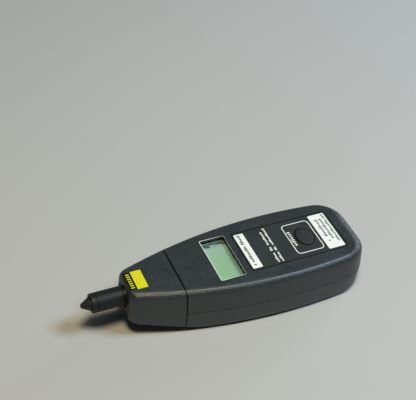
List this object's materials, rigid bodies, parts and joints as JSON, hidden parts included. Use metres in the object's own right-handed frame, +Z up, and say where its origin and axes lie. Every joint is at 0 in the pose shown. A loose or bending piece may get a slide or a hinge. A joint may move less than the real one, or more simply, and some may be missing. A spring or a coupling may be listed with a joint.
{
  "type": "digital tachometer",
  "caption": "Hand-held digital tachometer with a display, a memory button, a side measuring button and a screw-on contact adapter with a rubber tip on its nose.",
  "frame": {"origin": "on the surface it lies on, under the middle of its whole length and width", "axes": "+X to the right of its face, +Y towards the nose and its contact tip, +Z up out of the face"},
  "size_m": [0.0696, 0.21, 0.039],
  "materials": {
    "case_plastic": "fine grain, charcoal",
    "panel_film": "smooth, charcoal",
    "label_film": "off-white film",
    "warning_film": "plain yellow film",
    "clear_window": "clear and flat",
    "display": "blank green display",
    "button_plastic": "smooth, dark",
    "inner_plastic": "moulded, black",
    "board_laminate": "green lacquer",
    "strip_rubber": "striped silicone",
    "tip_rubber": "matt black",
    "zinc_steel": "zinc plated",
    "spring_steel": "nickel plated",
    "bearing_steel": "ground",
    "brass": "turned",
    "can_aluminium": "satin",
    "lead_sleeve": "red sleeve",
    "ribbon_film": "grey flat cable",
    "tube_plastic": "moulded, charcoal",
    "cell_sleeve": "plain sleeve"
  },
  "bodies": {
    "case": {"front_shell": "case_plastic", "rear_shell": "case_plastic", "nose_cap": "case_plastic", "front_panel": "panel_film", "small_label": "label_film", "rear_label": "label_film", "nose_sticker": "warning_film", "lcd_window": "clear_window", "sensor_window": "clear_window", "lcd_glass": "display", "lcd_frame": "inner_plastic", "memory_switch": "inner_plastic", "measure_switch": "inner_plastic", "main_chip": "inner_plastic", "optics_block": "inner_plastic", "light_receiver": "inner_plastic", "adapter_socket": "inner_plastic", "main_board": "board_laminate", "sensor_board": "board_laminate", "contact_strips": "strip_rubber", "board_screws": "zinc_steel", "case_screws": "zinc_steel", "battery_springs": "spring_steel", "battery_contacts": "spring_steel", "front_bearing": "bearing_steel", "rear_bearing": "bearing_steel", "laser_module": "brass", "socket_nut": "brass", "capacitor": "can_aluminium", "battery_leads": "lead_sleeve", "sensor_ribbon": "ribbon_film", "adapter_housing": "tube_plastic", "adapter_cap": "tube_plastic", "battery_1": "cell_sleeve", "battery_2": "cell_sleeve", "battery_3": "cell_sleeve", "battery_4": "cell_sleeve"},
    "battery_cover": {"battery_cover": "case_plastic"},
    "memory_button": {"memory_button": "button_plastic", "memory_plunger": "inner_plastic"},
    "measure_button": {"measure_button": "button_plastic", "measure_plunger": "inner_plastic"},
    "contact_shaft": {"contact_shaft": "bearing_steel", "mark_disc": "can_aluminium", "shaft_clip": "spring_steel", "contact_tip": "tip_rubber"}
  },
  "joints": [
    {"name": "cover_slide", "type": "slide", "parent": "case", "child": "battery_cover", "axis": [0, -1, 0], "range_m": [0, 0.08]},
    {"name": "memory_press", "type": "slide", "parent": "case", "child": "memory_button", "axis": [0, 0, -1], "range_m": [0, 0.001], "stiffness_N_per_m": 1200, "springref_m": -0.001},
    {"name": "measure_press", "type": "slide", "parent": "case", "child": "measure_button", "axis": [-1, 0, 0], "range_m": [0, 0.0012], "stiffness_N_per_m": 1000, "springref_m": -0.001},
    {"name": "shaft_turn", "type": "hinge", "parent": "case", "child": "contact_shaft", "pos_m": [0, 0.08, 0.0265], "axis": [0, 1, 0], "continuous": true}
  ]
}
